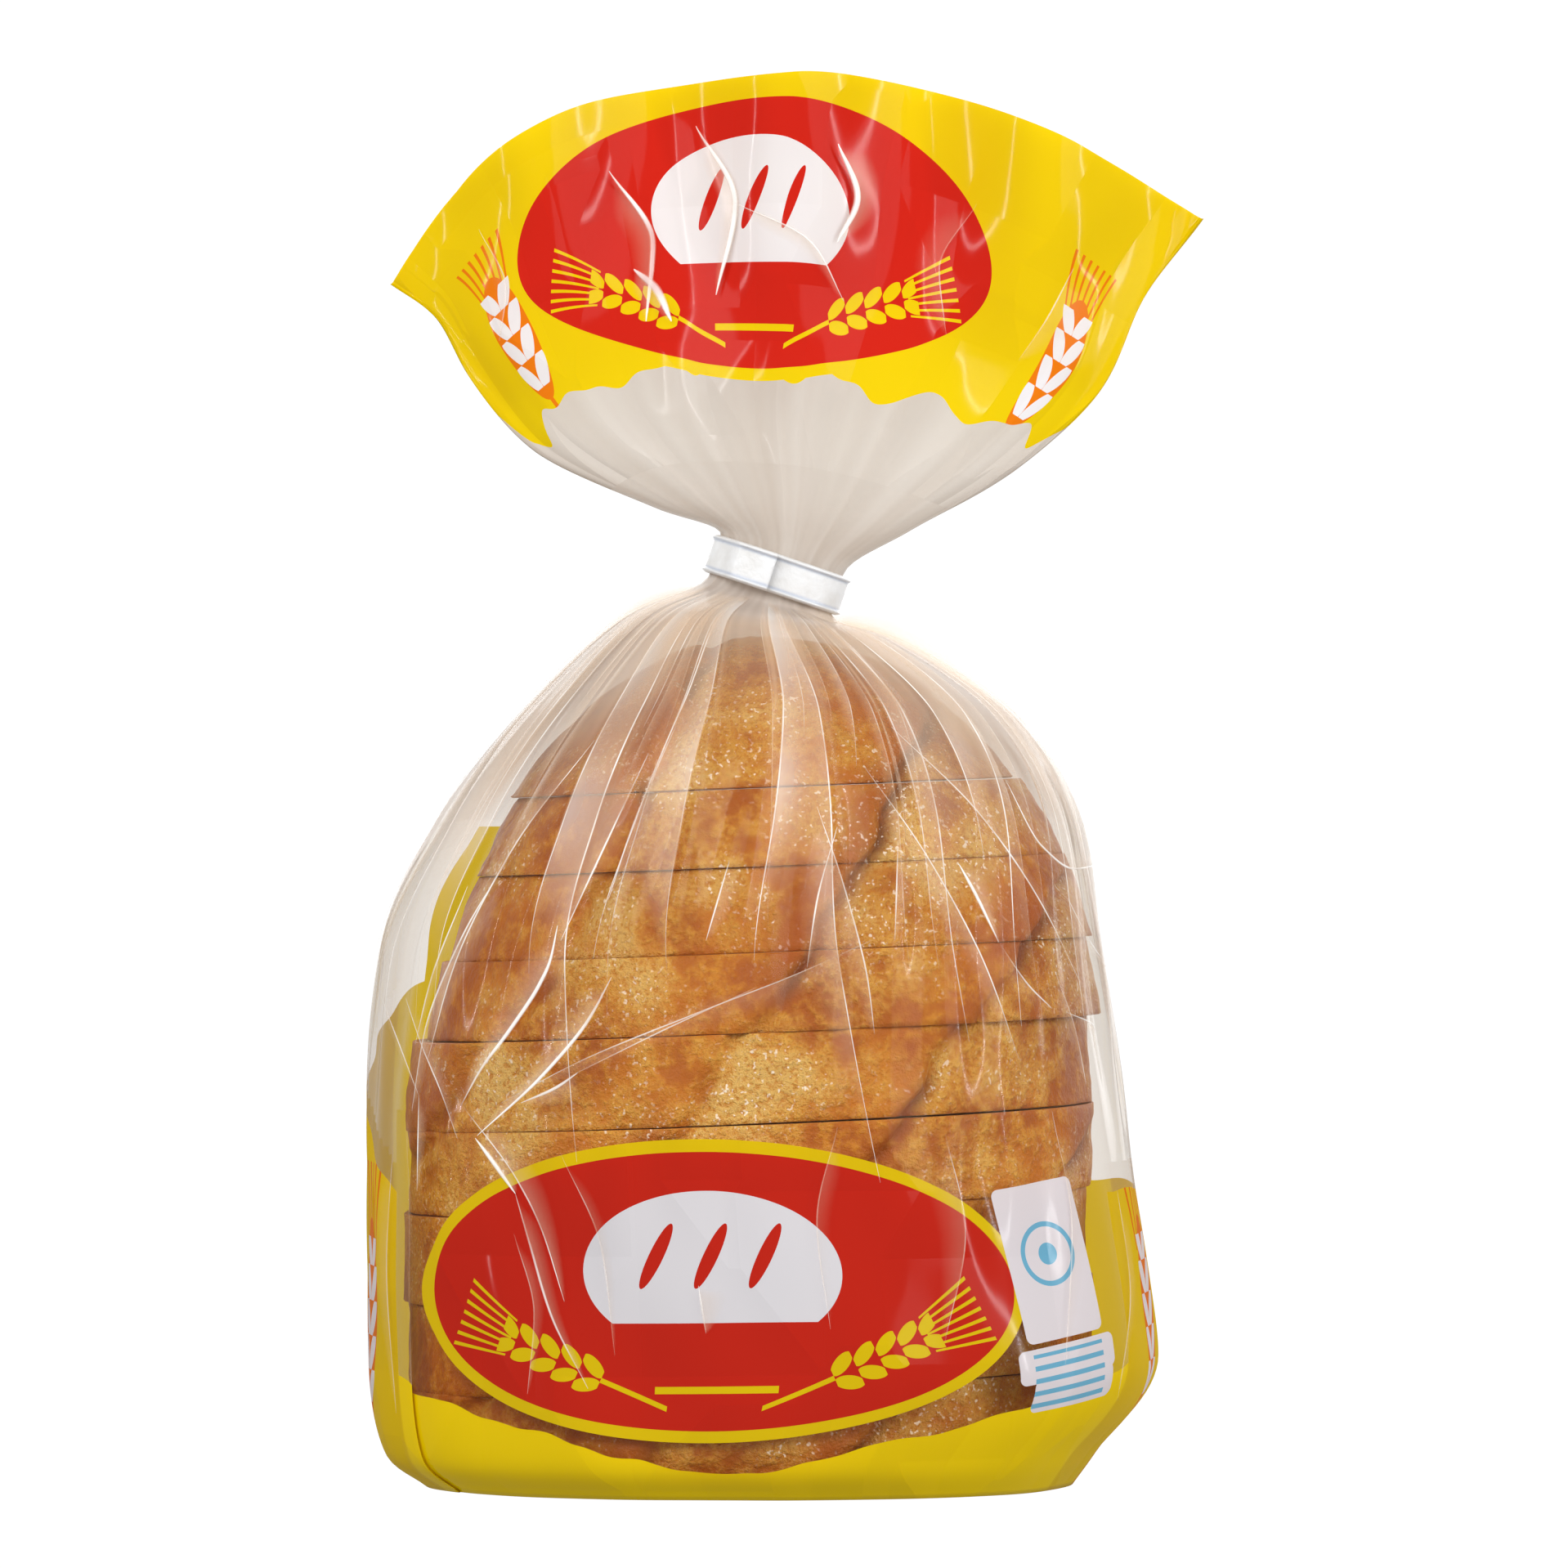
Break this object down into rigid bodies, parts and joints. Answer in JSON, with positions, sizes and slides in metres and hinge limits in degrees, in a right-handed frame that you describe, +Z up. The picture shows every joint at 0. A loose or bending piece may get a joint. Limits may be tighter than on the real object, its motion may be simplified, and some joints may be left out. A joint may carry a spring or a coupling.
{
  "type": "loaf in bread bag",
  "caption": "Half of a sliced loaf in a clear film bag, standing on its cut end, the neck gathered by a flat white tie under a fanned mouth.",
  "frame": {"origin": "middle of the bag's box in plan, on the surface that the pack stands on", "axes": "+Z up along the loaf and the gathered neck, -Y towards the shown side with the loaf's rounded top, +X to the right as seen from there"},
  "size_m": [0.128, 0.076, 0.216],
  "materials": {
    "film": "clear glossy film over golden crust, printed yellow and red",
    "tie": "satin white",
    "crust": "baked, slightly glossy",
    "crumb": "matte, porous"
  },
  "bodies": {
    "root": {"bread_bag": "film", "neck_tie": "tie"}
  },
  "joints": []
}
